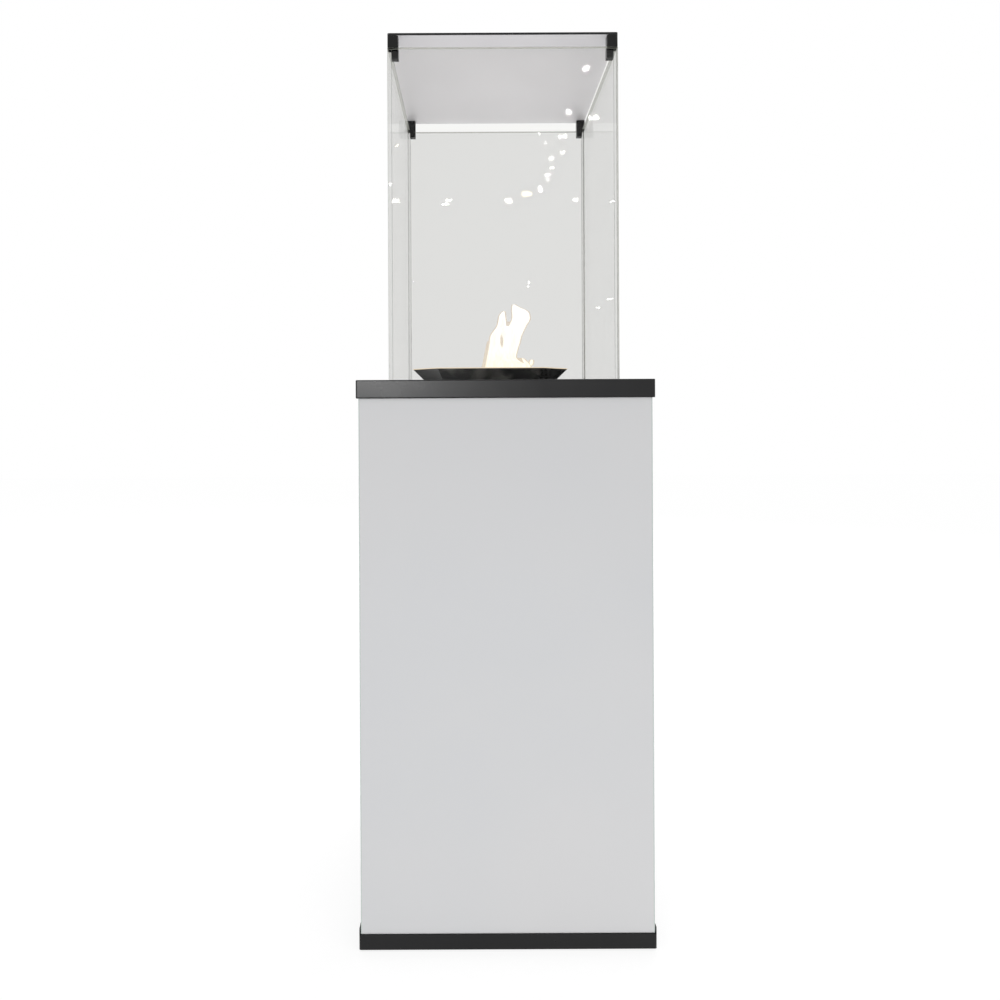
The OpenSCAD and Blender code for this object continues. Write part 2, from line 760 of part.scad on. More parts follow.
module gas_valve() color(brass) difference() {
    span([knob_x - valve_w / 2, valve_y1 - valve_l, knob_z - valve_h / 2],
        [knob_x + valve_w / 2, valve_y1, knob_z + valve_h / 2]);
    along_y(knob_x, valve_y1 - plug_l - 2 * run_gap, knob_z)
        cylinder(d = plug_d + 2 * run_gap, h = plug_l + 1);
}

module valve_bonnet() color(steel) difference() {
    span([knob_x - valve_w / 2 - ear_w, valve_y1, knob_z - valve_h / 2],
        [knob_x + valve_w / 2 + ear_w, pocket_y0, knob_z + valve_h / 2]);
    along_y(knob_x, valve_y1 - 1, knob_z) cylinder(d = spindle_d + 1, h = bonnet_t + 2);
    valve_screw_places(valve_y1 - 1) cylinder(d = valve_screw_d + 2 * screw_gap, h = bonnet_t + 2);
}

module valve_screws() color(steel) {
    valve_screw_places(valve_y1) cylinder(d = valve_screw_d, h = bonnet_t + pocket_t);
    valve_screw_places(pocket_floor) cylinder(d = 1.8 * valve_screw_d, h = valve_screw_d / 2);
}

module valve_fittings() color(brass) in_pipe_plane() translate([valve_s, 0, 0]) {
    translate([0, 0, knob_z - valve_h / 2 - barb_l]) cylinder(d = hose_d + 2 * barb_t, h = barb_l);
    translate([0, 0, knob_z + valve_h / 2]) difference() {
        cylinder(d = pipe_nut_d, h = pipe_nut_l / 2);
        translate([0, 0, -1]) cylinder(d = pipe_d + 2 * screw_gap, h = pipe_nut_l);
    }
}

module valve_plug() color(brass) along_y(knob_x, valve_y1 - plug_l, knob_z) difference() {
    cylinder(d = plug_d, h = plug_l - 2 * run_gap);
    translate([0, 0, plug_l - spindle_in - 1]) cylinder(d = spindle_d + 2 * run_gap, h = plug_l);
}

module control_spindle() color(steel)
    along_y(knob_x, valve_y1 - spindle_in + knob_travel, knob_z)
        cylinder(d = spindle_d, h = knob_y0 + spindle_seat - valve_y1 + spindle_in - knob_travel);

module control_knob() color(satin_black) along_y(knob_x, knob_y0, knob_z) difference() {
    union() {
        cylinder(d = knob_d, h = knob_h / 3);
        cylinder(d1 = knob_d * 0.8, d2 = knob_d * 0.72, h = knob_h - 2);
        translate([-knob_d / 12, -knob_d * 0.36, 0]) cube([knob_d / 6, knob_d * 0.72, knob_h]);
    }
    translate([0, 0, -1]) cylinder(d = spindle_d + 2 * run_gap, h = spindle_seat + 1);
}

module igniter_barrel() color(dark_rubber) along_y(igniter_x, pocket_floor, knob_z) difference() {
    union() {
        translate([0, 0, igniter_flange - igniter_l]) cylinder(d = igniter_d, h = igniter_l - igniter_flange);
        cylinder(d = igniter_d + 2 * igniter_lip, h = igniter_flange);
        translate([0, 0, -pocket_t - igniter_nut_h])
            cylinder(d = igniter_d + 2 * igniter_lip, h = igniter_nut_h, $fn = 6);
    }
    translate([0, 0, igniter_flange - button_seat - button_travel - button_room])
        cylinder(d = button_d + 2 * run_gap, h = igniter_l);
}

module igniter_button() color("firebrick")
    along_y(igniter_x, pocket_floor + igniter_flange - button_seat, knob_z)
        cylinder(d = button_d, h = button_seat + button_out);

module door_hinges() color(steel) {
    for (upper = [0, 1]) {
        z = upper ? door_z1 + washer_t : base_z1;
        span([hinge_x - hinge_in, rear_post_y, z], [hinge_x + hinge_out, rear_y, z + hinge_t]);
        translate([hinge_x, hinge_y, upper ? z - pin_l : z])
            cylinder(d = pin_d, h = pin_l + (upper ? 1 : hinge_t));
    }
    translate([hinge_x, hinge_y, base_z1 + hinge_t]) cylinder(d = 2 * pin_d, h = washer_t - run_gap);
}

module rear_door() color(pale_lacquer) difference() {
    span([-door_x, rear_y - door_d, door_z0], [door_x, rear_y, door_z1]);
    span([door_t - door_x, rear_y - door_d - 1, door_z0 + door_t],
        [door_x - door_t, rear_y - door_t, door_z1 - door_t]);
    translate([hinge_x, hinge_y, door_z0 - 1]) cylinder(d = pin_d + 2 * run_gap, h = door_z1 - door_z0 + 2);
    for (i = [0 : vent_count - 1], z = [door_z0 + vent_l, door_z1 - vent_l])
        translate([(i - (vent_count - 1) / 2) * vent_pitch, rear_y, z]) rotate([90, 0, 0]) door_vent();
}

module door_vent() {
    translate([-vent_w / 2, (vent_w - vent_l) / 2, -1]) cube([vent_w, vent_l - vent_w, door_t + 2]);
    for (s = [-1, 1]) translate([0, s * (vent_l - vent_w) / 2, -1]) cylinder(d = vent_w, h = door_t + 2);
}

module door_fittings() color(steel) {
    translate([catch_x, rear_y - door_t - strike_t / 2, catch_z])
        cube([catch_w, strike_t, catch_h], center = true);
    translate([catch_x, rear_y, catch_z - pull_h / 2]) linear_extrude(pull_h)
        polygon([[-pull_w / 2, 0], [-pull_w / 2, pull_t], [pull_w * 0.2, 1.5 * pull_t],
            [pull_w * 0.35, pull_out], [pull_w / 2, pull_out], [pull_w / 2, pull_out - pull_t],
            [pull_w * 0.4, 0]]);
}

module door_catch() color(satin_black)
    span([catch_x - catch_w / 2, rear_post_y, catch_z - catch_h / 2],
        [catch_x + catch_w / 2, rear_y - door_t - strike_t - seat_gap, catch_z + catch_h / 2]);

// Half section of the cylinder's shell: two domes and a straight wall
module bottle_section(r, dome, z0, z1) {
    polygon(concat([[0, z0]],
        [for (a = [-84 : 6 : 0]) [r * cos(a), z0 + dome + dome * sin(a)]],
        [for (a = [0 : 6 : 84]) [r * cos(a), z1 - dome + dome * sin(a)]], [[0, z1]]));
}

module bottle_solid(inward) {
    rotate_extrude()
        bottle_section(bottle_r - inward, dome_h - inward, bottle_z0 + inward, bottle_z1 - inward);
}

module gas_cylinder() color([0.30, 0.42, 0.48]) {
    difference() {
        union() {
            bottle_solid(0);
            translate([0, 0, bottle_z1 - neck_h / 2]) cylinder(d = neck_d, h = 1.5 * neck_h);
        }
        bottle_solid(bottle_t);
        translate([0, 0, bottle_z1 - neck_h]) cylinder(d = neck_bore_d, h = 3 * neck_h);
    }
    difference() {
        union() {
            translate([0, 0, base_z1]) cylinder(d = ring_d, h = ring_h);
            translate([0, 0, bottle_z1 - dome_h / 2]) cylinder(d = guard_d, h = guard_h + dome_h / 2);
        }
        translate([0, 0, base_z1 - 1]) cylinder(d = ring_d - 2 * bottle_t, h = ring_h + 2);
        translate([0, 0, bottle_z1 - dome_h]) cylinder(d = guard_d - 2 * bottle_t, h = guard_h + 2 * dome_h);
        bottle_solid(bottle_t / 2);
        in_pipe_plane() {
            span([0, -guard_gap_w / 2, guard_gap_z0], [guard_d, guard_gap_w / 2, bottle_z1 + guard_h + 1]);
            span([-guard_d, -hand_hole_w / 2, hand_hole_z0],
                [0, hand_hole_w / 2, hand_hole_z0 + hand_hole_h]);
        }
    }
}

module cylinder_valve() color(brass) {
    difference() {
        union() {
            translate([0, 0, bottle_z1 - neck_h])
                cylinder(d = neck_bore_d - 2 * run_gap, h = neck_z1 - bottle_z1 + neck_h);
            translate([0, 0, neck_z1]) cylinder(d = valve_body_d, h = valve_body_h);
            translate([0, 0, neck_z1 + valve_body_h]) cylinder(d = valve_body_d * 0.6, h = bonnet_h);
            along_plane(0, outlet_z) cylinder(d = outlet_d, h = outlet_s);
        }
        translate([0, 0, neck_z1 + valve_body_h - wheel_seat - 1])
            cylinder(d = wheel_stem_d + 2 * run_gap, h = bonnet_h + wheel_seat + 2);
    }
}

module handwheel() color("firebrick") {
    translate([0, 0, neck_z1 + valve_body_h - wheel_seat])
        cylinder(d = wheel_stem_d, h = bonnet_h + wheel_gap + wheel_seat + 1);
    translate([0, 0, wheel_z0]) difference() {
        cylinder(d = wheel_d, h = wheel_h);
        translate([0, 0, wheel_h - wheel_dish]) cylinder(d = wheel_d * 0.6, h = wheel_dish + 1);
        for (a = [0 : 45 : 315])
            rotate([0, 0, a]) translate([wheel_d * 0.56, 0, -1]) cylinder(d = wheel_d / 5, h = wheel_h + 2);
    }
}

module regulator() color(steel) {
    along_plane(outlet_s, outlet_z) cylinder(d = outlet_d + 6, h = regulator_nut_l, $fn = 6);
    in_pipe_plane() translate([regulator_s, 0, outlet_z - regulator_h / 2]) {
        cylinder(d = regulator_d, h = regulator_h);
        cylinder(d = regulator_d * 0.7, h = regulator_h + regulator_cap_h);
    }
    along_plane(regulator_s, outlet_z) cylinder(d = hose_d + 2 * barb_t, h = hose_s0 - regulator_s);
}

module gas_hose() color(dark_rubber) {
    along_plane(hose_s0, outlet_z) cylinder(d = hose_d, h = hose_d);
    plane_bend(valve_s - hose_r, outlet_z + hose_r, hose_r, hose_d, -90);
    z1 = knob_z - valve_h / 2 - barb_l;
    in_pipe_plane() translate([valve_s, 0, outlet_z + hose_r])
        cylinder(d = hose_d, h = z1 - outlet_z - hose_r);
}

base_plinth();
rubber_feet();
foot_screws();
front_posts();
rear_posts();
top_frame();
front_panel();
left_panel();
right_panel();
bond_strips();
rear_fascia();
fascia_spacers();
top_plate();
plate_nuts();
glass_channel();
glass_gasket();
front_pane();
rear_pane();
left_pane();
right_pane();
corner_connectors();
roof_plate();
roof_screws();
burner_deck();
burner_box();
burner_tray();
burner_head();
mixing_tube();
gas_jet();
jet_block();
supply_pipe();
pilot_bracket();
pilot_burner();
pilot_pipe();
thermocouple();
thermocouple_lead();
spark_electrode();
ignition_lead();
lava_stones();
heat_shield();
shield_cleats();
control_pocket();
gas_valve();
valve_bonnet();
valve_screws();
valve_fittings();
valve_plug();
control_spindle();
control_knob();
igniter_barrel();
igniter_button();
door_hinges();
rear_door();
door_fittings();
door_catch();
gas_cylinder();
cylinder_valve();
handwheel();
regulator();
gas_hose();
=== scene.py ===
"""Looks of the patio gas fireplace: materials, lava stones, flame, small details, light and camera."""

import json
import math
import random

import bmesh
import bpy
from mathutils import Matrix, Vector, noise


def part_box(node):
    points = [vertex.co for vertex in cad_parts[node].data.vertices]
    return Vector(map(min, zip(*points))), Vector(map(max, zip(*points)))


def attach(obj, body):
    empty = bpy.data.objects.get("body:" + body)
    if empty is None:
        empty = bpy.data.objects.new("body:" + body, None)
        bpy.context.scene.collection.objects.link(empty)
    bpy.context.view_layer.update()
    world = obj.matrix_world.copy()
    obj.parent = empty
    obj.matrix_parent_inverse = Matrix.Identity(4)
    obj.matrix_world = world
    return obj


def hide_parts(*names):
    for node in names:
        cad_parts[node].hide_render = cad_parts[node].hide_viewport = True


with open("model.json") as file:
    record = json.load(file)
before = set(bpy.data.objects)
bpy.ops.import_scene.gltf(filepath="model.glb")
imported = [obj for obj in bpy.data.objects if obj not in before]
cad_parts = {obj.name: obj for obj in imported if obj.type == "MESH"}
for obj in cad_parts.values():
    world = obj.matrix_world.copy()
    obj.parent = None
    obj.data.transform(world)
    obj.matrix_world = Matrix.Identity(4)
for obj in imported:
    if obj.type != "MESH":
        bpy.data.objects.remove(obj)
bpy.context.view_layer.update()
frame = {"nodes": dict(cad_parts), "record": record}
NODES = frame["nodes"]
SLOT_OF = {row["node"]: row["material_slot"] for row in frame["record"]["subparts"]}
scene = bpy.context.scene

# Places the looks follow, in metres: the front pane's top and +X end, the panes' inner face, the tray's rim
PANE_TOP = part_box("front_pane")[1].z
PANE_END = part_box("front_pane")[1].x
PANE_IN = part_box("rear_pane")[0].y
TRAY_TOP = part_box("burner_tray")[1].z
PANEL_EDGE = (0.2362, 0.2372)  # where a lacquered panel's polished edge begins and is full, from the column's axis

SQUARE_ON = 0.95  # share of a normal along an axis, above which its face lies square to that axis
NOISE_MIDDLE = (0.3, 0.7)  # the part of a noise's range that nearly all of its values are in

MATS = {}


def srgb(r, g, b):
    """A linear colour from 0 to 255 display values."""
    def linear(v):
        v /= 255
        return v / 12.92 if v <= 0.04045 else ((v + 0.055) / 1.055) ** 2.4
    return (linear(r), linear(g), linear(b), 1.0)


# ---------------------------------------------------------------- node helpers

class Tree:
    """A small wrapper round the node tree of a material or a world."""

    def __init__(self, owner, output):
        owner.use_nodes = True
        self.owner = owner
        self.tree = owner.node_tree
        self.tree.nodes.clear()
        self.out = self.tree.nodes.new(output)
        self.coords = None

    def node(self, kind, **inputs):
        """Adds a node: p_NAME sets a property, iN the input of that number, another name the input so called."""
        n = self.tree.nodes.new(kind)
        for key, value in inputs.items():
            if key.startswith("p_"):
                setattr(n, key[2:], value)
                continue
            by_number = key[0] == "i" and key[1:].isdigit()
            socket = n.inputs[int(key[1:]) if by_number else key.replace("_", " ")]
            if isinstance(value, bpy.types.NodeSocket):
                self.tree.links.new(value, socket)
            else:
                socket.default_value = value
        return n

    def surface(self, shader):
        """Links a shader to the output, and gives back the material or world."""
        self.tree.links.new(shader.outputs[0], self.out.inputs["Surface"])
        return self.owner

    def principled(self, **inputs):
        return self.surface(self.node("ShaderNodeBsdfPrincipled", **inputs))

    def blend(self, share, one, two):
        """Mixes two shaders: share 0 is the first, 1 the second."""
        return self.node("ShaderNodeMixShader", i0=share, i1=one.outputs[0], i2=two.outputs[0])

    def obj(self):
        if self.coords is None:
            self.coords = self.node("ShaderNodeTexCoord").outputs["Object"]
        return self.coords

    def scaled(self, x, y, z):
        return self.node("ShaderNodeMapping", Vector=self.obj(), Scale=(x, y, z)).outputs[0]

    def place(self):
        """X, Y and Z of the point."""
        return self.node("ShaderNodeSeparateXYZ", Vector=self.obj()).outputs

    def facing(self):
        """X, Y and Z of the face's normal, without bump."""
        normal = self.node("ShaderNodeNewGeometry").outputs["True Normal"]
        return self.node("ShaderNodeSeparateXYZ", Vector=normal).outputs

    def shown(self):
        """1 where the ray comes from the camera, a mirror image or glass, else 0."""
        path = self.node("ShaderNodeLightPath")
        return self.highest(path.outputs["Is Camera Ray"], path.outputs["Is Glossy Ray"],
                            path.outputs["Is Transmission Ray"])

    def noise(self, scale, detail=3.0, rough=0.5, vector=None):
        return self.node("ShaderNodeTexNoise", Vector=vector or self.obj(), Scale=scale, Detail=detail,
                         Roughness=rough).outputs["Fac"]

    def span(self, fac, lo, hi, a=0.0, b=1.0):
        """Stretches the range lo to hi to a to b, and cuts off what is outside it."""
        return self.node("ShaderNodeMapRange", Value=fac, From_Min=lo, From_Max=hi, To_Min=a, To_Max=b).outputs[0]

    def spread(self, fac, a=0.0, b=1.0):
        """Stretches a noise to a to b."""
        return self.span(fac, *NOISE_MIDDLE, a, b)

    def math(self, op, a, b=0.0):
        return self.node("ShaderNodeMath", p_operation=op, i0=a, i1=b).outputs[0]

    def size(self, a):
        return self.math("ABSOLUTE", a)

    def above(self, a, limit):
        return self.math("GREATER_THAN", a, limit)

    def below(self, a, limit):
        return self.math("LESS_THAN", a, limit)

    def product(self, first, *others):
        for other in others:
            first = self.math("MULTIPLY", first, other)
        return first

    def highest(self, first, *others):
        for other in others:
            first = self.math("MAXIMUM", first, other)
        return first

    def mix(self, fac, a, b):
        return self.node("ShaderNodeMix", p_data_type="RGBA", i0=fac, i6=a, i7=b).outputs[2]

    def ramp(self, fac, *stops):
        n = self.node("ShaderNodeValToRGB", Fac=fac)
        e = n.color_ramp.elements
        while len(e) < len(stops):
            e.new(0.5)
        for item, (pos, colour) in zip(e, stops):
            item.position = pos
            item.color = colour
        return n.outputs["Color"]

    def bump(self, height, strength, distance):
        return self.node("ShaderNodeBump", Height=height, Strength=strength, Distance=distance).outputs[0]


def new_look(name):
    """The empty tree of a new material."""
    return Tree(bpy.data.materials.new(name), "ShaderNodeOutputMaterial")


# ---------------------------------------------------------------- materials

def paint(name, low, high, rough, spec=0.5, grain=900.0, grain_depth=0.00003, coat=0.0):
    """Powder coat or paint: a slow colour drift, fine orange peel and slightly varied gloss."""
    m = new_look(name)
    return m.principled(Base_Color=m.mix(m.spread(m.noise(6.0, 2.0)), low, high),
                        Roughness=m.spread(m.noise(14.0, 4.0), rough - 0.04, rough + 0.04),
                        Specular_IOR_Level=spec, Coat_Weight=coat, Coat_Roughness=0.05,
                        Normal=m.bump(m.noise(grain, 2.0), 0.25, grain_depth))


def steel(name, low, high, rough, stretch=(1, 1, 40), blotch=0.0, tint=None):
    """Sheet or turned metal: a brushed grain, finest along the axes with the largest stretch, and tinted blotches."""
    m = new_look(name)
    grain = m.noise(60.0, 4.0, 0.6, m.scaled(*stretch))
    colour = m.mix(m.spread(m.noise(9.0, 3.0)), low, high)
    if blotch:
        colour = m.mix(m.span(m.noise(28.0, 5.0, 0.7), 0.5, 0.75, 0.0, blotch), colour, tint)
    return m.principled(Base_Color=colour, Metallic=1.0, Roughness=m.spread(grain, rough - 0.05, rough + 0.07),
                        Normal=m.bump(grain, 0.08, 0.0001))


def lacquered_glass():
    """Panel of clear glass lacquered on its back: gloss coat, calm colour, greenish polished edges."""
    m = new_look("look_lacquer")
    place = m.place()
    face = m.mix(m.span(m.noise(2.5, 2.0), 0.35, 0.65), srgb(207, 208, 210), srgb(210, 210, 211))
    edge = m.product(*[m.span(m.size(place[i]), *PANEL_EDGE) for i in (0, 1)])
    return m.principled(Base_Color=m.mix(edge, face, srgb(190, 200, 196)), Roughness=0.32, Specular_IOR_Level=0.3,
                        Coat_Weight=1.0, Coat_Roughness=m.spread(m.noise(5.0, 2.0), 0.015, 0.03), Coat_IOR=1.5,
                        Normal=m.bump(m.noise(3.0, 1.0), 0.03, 0.0006))


def roof_look():
    """Roof sheet: bright brushed steel underneath, satin black powder coat on its top and rim; the black on the rim
    is also painted shade, standing in for the shade and dark reflection on the sheet's edge.
    """
    m = new_look("look_roof_steel")
    below = m.below(m.facing()[2], -0.5)
    grain = m.noise(60.0, 4.0, 0.6, m.scaled(1, 30, 30))
    bare = m.mix(m.spread(m.noise(9.0, 3.0)), srgb(219, 218, 221), srgb(223, 222, 225))
    # coat: satin black; on the rim it also stands in for the shade and dark reflection of the sheet's edge (painted
    # shade).
    coat = m.mix(m.spread(m.noise(6.0, 2.0)), srgb(20, 20, 21), srgb(26, 26, 27))
    rough = m.node("ShaderNodeMix", p_data_type="FLOAT", i0=below, i2=m.spread(m.noise(14.0, 4.0), 0.38, 0.46),
                   i3=m.spread(grain, 0.5, 0.6)).outputs[0]
    return m.principled(Base_Color=m.mix(below, coat, bare), Metallic=m.product(below, 0.55), Roughness=rough,
                        Specular_IOR_Level=0.3, Normal=m.bump(grain, 0.05, 0.0001))


def clear_glass(name, tint):
    """Cage glass: faint tint, calm reflection with light marks of cleaning, olive polished edges and arrises, and a
    painted edge line near the +X end of the faces.
    """
    m = new_look(name)
    through = m.node("ShaderNodeBsdfTransparent", Color=tint)
    smear = m.span(m.noise(7.0, 5.0, 0.6), 0.45, 0.8, 0.0, 0.008)
    mirror = m.node("ShaderNodeBsdfGlossy", Color=(1, 1, 1, 1), Roughness=smear)
    share = m.product(m.node("ShaderNodeFresnel", IOR=1.3).outputs[0], 0.25)
    place, facing = m.place(), m.facing()
    far = [m.size(place[i]) for i in (0, 1)]
    tilt = [m.size(facing[i]) for i in (0, 1, 2)]
    high = m.above(place[2], PANE_TOP - 0.002)
    corner = m.above(m.math("MINIMUM", *far), PANE_IN + 0.004)
    top = m.product(m.above(tilt[2], SQUARE_ON), high)
    end = m.product(m.above(tilt[0], SQUARE_ON), m.above(far[1], PANE_IN + 0.00002))
    arris = m.product(m.below(m.highest(*tilt), SQUARE_ON), m.highest(high, corner))
    # Painted edge line: a band on the faces next to the +X end takes part of the olive edge colour, standing in for
    # how that end looks through the glass from the front.
    painted_edge_line = m.product(m.above(tilt[1], SQUARE_ON), m.above(place[0], PANE_END - 0.0022))
    rim = m.highest(m.product(top, 0.6), m.product(end, 0.8), m.product(arris, 0.75), m.product(painted_edge_line, 0.3))
    ground = m.node("ShaderNodeBsdfPrincipled", Base_Color=m.mix(end, srgb(176, 178, 170), srgb(156, 158, 150)),
                    Roughness=m.spread(m.noise(400.0, 2.0), 0.4, 0.5), Specular_IOR_Level=0.15)
    return m.surface(m.blend(rim, m.blend(share, through, mirror), ground))


def enamel():
    """Black enamel of the tray: ripple, heat haze and streaks; outer walls painted paler as painted reflection,
    lighter on the left facets as painted light and darker on the right as painted shade; a bare rim with a painted
    glow for the fire's light from below.
    """
    m = new_look("look_enamel")
    facing = m.facing()
    # Painted light: the rim band is bare, paler metal, and its faces turned down glow warm; the glow, and partly the
    # paleness, stand in for the fire's light on the rim.
    rim = m.above(m.place()[2], TRAY_TOP - 0.0014)
    lit = m.product(rim, m.below(facing[2], 0.0))
    outer = m.below(facing[2], -0.1)
    left = m.product(outer, m.below(facing[0], -0.2))
    right = m.product(outer, m.above(facing[0], 0.2))
    ripple = m.noise(45.0, 3.0)
    haze = m.span(m.noise(16.0, 5.0, 0.6), 0.45, 0.75)
    streaks = m.span(m.noise(30.0, 3.0, 0.6, m.scaled(1, 1, 0.3)), 0.5, 0.75)
    inside = m.mix(haze, srgb(16, 16, 17), srgb(34, 33, 32))
    # Painted reflection: the outer walls get a paler colour than the inside, standing in for the light they reflect.
    outside = m.mix(haze, srgb(54, 54, 55), srgb(86, 85, 82))
    colour = m.mix(streaks, m.mix(outer, inside, outside), srgb(118, 117, 113))
    # Painted light and shade: outer facets turned to -X are painted lighter, as if lit from the left; those turned to
    # +X are painted darker, as if shaded.
    colour = m.mix(left, colour, m.mix(haze, srgb(112, 112, 113), srgb(128, 128, 127)))
    colour = m.mix(right, colour, srgb(46, 46, 46))
    # The emission below is a painted glow of firelight on the rim; no lamp makes it.
    return m.principled(Base_Color=m.mix(rim, colour, srgb(176, 170, 160)), Roughness=m.spread(ripple, 0.1, 0.22),
                        Metallic=m.product(rim, 0.6), Specular_IOR_Level=0.5,
                        Emission_Color=srgb(255, 236, 206), Emission_Strength=m.product(lit, 0.8),
                        Normal=m.bump(ripple, 0.25, 0.0012))


def stone():
    """Lava: coarse grains and pits, dark grey with rusty patches."""
    m = new_look("look_lava")
    grains = m.noise(160.0, 8.0, 0.65)
    pits = m.node("ShaderNodeTexVoronoi", Vector=m.obj(), Scale=260.0).outputs["Distance"]
    colour = m.mix(m.span(grains, 0.35, 0.7), srgb(42, 38, 36), srgb(98, 90, 84))
    colour = m.mix(m.span(m.noise(35.0, 3.0), 0.55, 0.75, 0.0, 0.6), colour, srgb(92, 58, 46))
    height = m.math("ADD", m.product(grains, 0.6), m.span(pits, 0.0, 0.5, 0.0, 0.7))
    return m.principled(Base_Color=colour, Roughness=m.spread(grains, 0.8, 0.95), Specular_IOR_Level=0.3,
                        Normal=m.bump(height, 0.7, 0.0012))


def rubber_look():
    """Matt black rubber with a fine skin."""
    m = new_look("look_rubber")
    fine = m.noise(700.0, 3.0)
    return m.principled(Base_Color=m.mix(m.noise(20.0), srgb(26, 26, 26), srgb(38, 38, 37)),
                        Roughness=m.spread(fine, 0.6, 0.75), Specular_IOR_Level=0.35,
                        Normal=m.bump(fine, 0.3, 0.0001))


def plastic(name, low, high, rough, spec=0.45):
    """Moulded plastic or glazed ceramic: a slow colour drift and a fine texture."""
    m = new_look(name)
    fine = m.noise(500.0, 3.0)
    return m.principled(Base_Color=m.mix(m.noise(18.0), low, high),
                        Roughness=m.spread(fine, rough - 0.05, rough + 0.05), Specular_IOR_Level=spec,
                        Normal=m.bump(fine, 0.2, 0.0001))


def sealant():
    """Clear, slightly yellowed silicone."""
    m = new_look("look_sealant")
    ripple = m.noise(120.0, 3.0)
    body = m.node("ShaderNodeBsdfPrincipled", Base_Color=m.mix(ripple, srgb(112, 114, 100), srgb(134, 136, 122)),
                  Roughness=m.spread(ripple, 0.3, 0.45), Specular_IOR_Level=0.2)
    return m.surface(m.blend(m.spread(ripple, 0.28, 0.42), m.node("ShaderNodeBsdfTransparent"), body))


def build_materials():
    """One material for each slot."""
    MATS.update(
        satin_black=paint("look_satin_black", srgb(18, 18, 19), srgb(24, 24, 25), 0.3, spec=0.26),
        gloss_black=enamel(),
        pale_lacquer=lacquered_glass(),
        pale_paint=paint("look_pale_paint", srgb(205, 206, 208), srgb(210, 210, 211), 0.36, spec=0.4),
        cage_glass=clear_glass("look_cage_glass", srgb(242, 242, 242)),
        roof_steel=roof_look(),
        sheet_steel=steel("look_sheet_steel", srgb(172, 173, 174), srgb(190, 190, 189), 0.38,
                          blotch=0.35, tint=srgb(150, 152, 156)),
        burner_steel=steel("look_burner_steel", srgb(150, 146, 140), srgb(176, 172, 166), 0.36, stretch=(20, 20, 1),
                           blotch=0.6, tint=srgb(118, 96, 82)),
        cast_alloy=steel("look_cast_alloy", srgb(176, 177, 179), srgb(192, 192, 193), 0.5, stretch=(1, 1, 1)),
        zinc_screw=steel("look_zinc_screw", srgb(188, 186, 180), srgb(204, 202, 196), 0.3, stretch=(8, 8, 1)),
        brass=steel("look_brass", srgb(196, 160, 92), srgb(212, 178, 110), 0.3, stretch=(1, 1, 30),
                    blotch=0.3, tint=srgb(150, 116, 62)),
        copper=steel("look_copper", srgb(184, 122, 88), srgb(200, 138, 102), 0.32, stretch=(1, 1, 20)),
        rubber=rubber_look(),
        black_plastic=plastic("look_black_plastic", srgb(24, 24, 25), srgb(32, 32, 33), 0.42),
        red_plastic=plastic("look_red_plastic", srgb(158, 26, 20), srgb(176, 34, 26), 0.28),
        ceramic=plastic("look_ceramic", srgb(232, 228, 216), srgb(240, 237, 228), 0.2, spec=0.6),
        lava=stone(),
        cylinder_paint=paint("look_cylinder_paint", srgb(126, 150, 160), srgb(136, 160, 170), 0.3,
                             grain=300.0, grain_depth=0.0001, coat=0.3),
    )


def dress_nodes():
    """Gives each CAD node its slot's material; the front pane is clearer, and the connectors' coat is glossier."""
    own = {"front_pane": clear_glass("look_front_glass", srgb(251, 251, 250)),
           "corner_connectors": paint("look_connector", srgb(8, 8, 8), srgb(12, 12, 12), 0.2, spec=0.25)}
    for name, obj in NODES.items():
        obj.data.materials.clear()
        obj.data.materials.append(own.get(name) or MATS[SLOT_OF[name]])


# Nodes whose sharp edges are rounded a little, as folded or ground edges are: width in metres, segments
ROUNDED = {
    **dict.fromkeys(("front_panel", "left_panel", "right_panel", "rear_fascia", "base_plinth"), (0.0006, 2)),
    "roof_plate": (0.0004, 2),
    "corner_connectors": (0.0005, 2),
    "rear_door": (0.0007, 2),
    "door_fittings": (0.0003, 2),
    **dict.fromkeys(("front_pane", "rear_pane", "left_pane", "right_pane"), (0.0006, 1)),
}


def soften(name, width, segments):
    """Rounds a node's sharp edges."""
    obj = NODES[name]
    weld = obj.modifiers.new("weld", "WELD")
    weld.merge_threshold = 0.000005
    flat = obj.modifiers.new("flat", "DECIMATE")
    flat.decimate_type = "DISSOLVE"
    flat.angle_limit = math.radians(0.5)
    bevel = obj.modifiers.new("bevel", "BEVEL")
    bevel.width = width
    bevel.segments = segments
    bevel.limit_method = "ANGLE"
    bevel.angle_limit = math.radians(35)
    bevel.harden_normals = False


# ---------------------------------------------------------------- mesh helpers

def add_mesh(name, bm, material, body, smooth=True):
    """Makes a piece of the mesh with the given material, riding on a body."""
    mesh = bpy.data.meshes.new(name)
    bm.to_mesh(mesh)
    bm.free()
    obj = bpy.data.objects.new(name, mesh)
    scene.collection.objects.link(obj)
    mesh.materials.append(material)
    for p in mesh.polygons:
        p.use_smooth = smooth
    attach(obj, body)
    return obj


def turn_outward(bm):
    bmesh.ops.recalc_face_normals(bm, faces=bm.faces)


def bridge(bm, pairs):
    """Faces between the two loops of each pair."""
    for low, high in pairs:
        for i in range(len(low)):
            j = (i + 1) % len(low)
            bm.faces.new((low[i], low[j], high[j], high[i]))


def islands(node):
    """Groups of vertex positions, one per separate solid of a CAD node."""
    bm = bmesh.new()
    bm.from_mesh(NODES[node].data)
    bmesh.ops.remove_doubles(bm, verts=bm.verts, dist=0.00001)
    seen, groups = set(), []
    for v in bm.verts:
        if v in seen:
            continue
        stack, group = [v], []
        seen.add(v)
        while stack:
            w = stack.pop()
            group.append(w.co.copy())
            for e in w.link_edges:
                o = e.other_vert(w)
                if o not in seen:
                    seen.add(o)
                    stack.append(o)
        groups.append(group)
    bm.free()
    return groups


